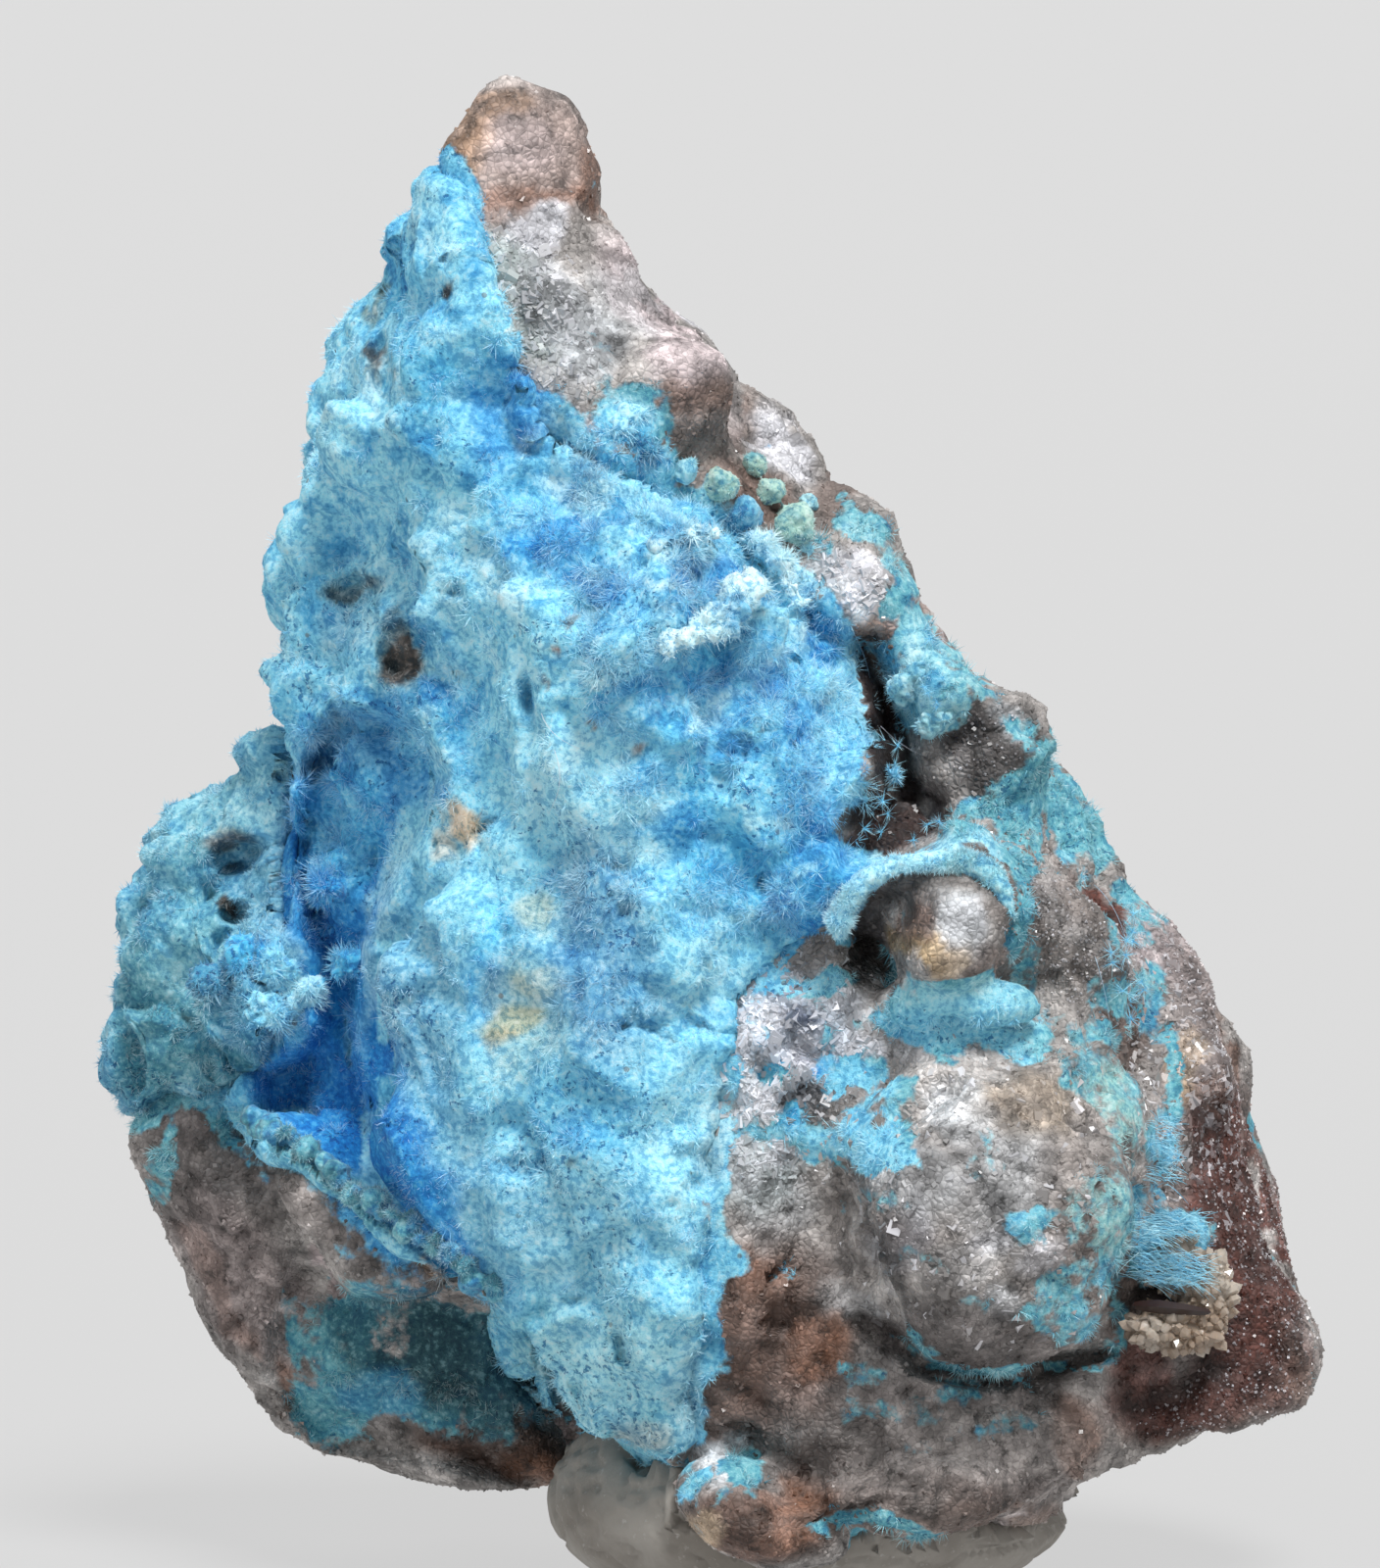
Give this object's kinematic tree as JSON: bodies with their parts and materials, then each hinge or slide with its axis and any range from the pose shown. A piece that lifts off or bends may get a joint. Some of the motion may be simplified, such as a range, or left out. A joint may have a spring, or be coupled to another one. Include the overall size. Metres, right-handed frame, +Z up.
{
  "type": "cyanotrichite mineral specimen",
  "caption": "Wedge of drusy, iron-stained rock with a felted blue crust over its front and a turquoise crust on its left lobe, standing in a pad of grey putty.",
  "frame": {"origin": "centre of the putty's flat underside, on the surface that it stands on", "axes": "+Z up, from the putty to the tip of the rock; the blue front faces -Y; +X to the right seen from the front"},
  "size_m": [0.0212, 0.016, 0.0263],
  "materials": {
    "host_rock": "rough, with sparkling grains",
    "blue_felt": "felted, silky",
    "turquoise_felt": "velvety",
    "pale_quartz": "glassy, see-through",
    "grey_putty": "dull, soft"
  },
  "bodies": {
    "root": {"matrix": "host_rock", "blue_crust": "blue_felt", "turquoise_crust": "turquoise_felt", "quartz_cluster": "pale_quartz", "putty": "grey_putty"}
  },
  "joints": []
}
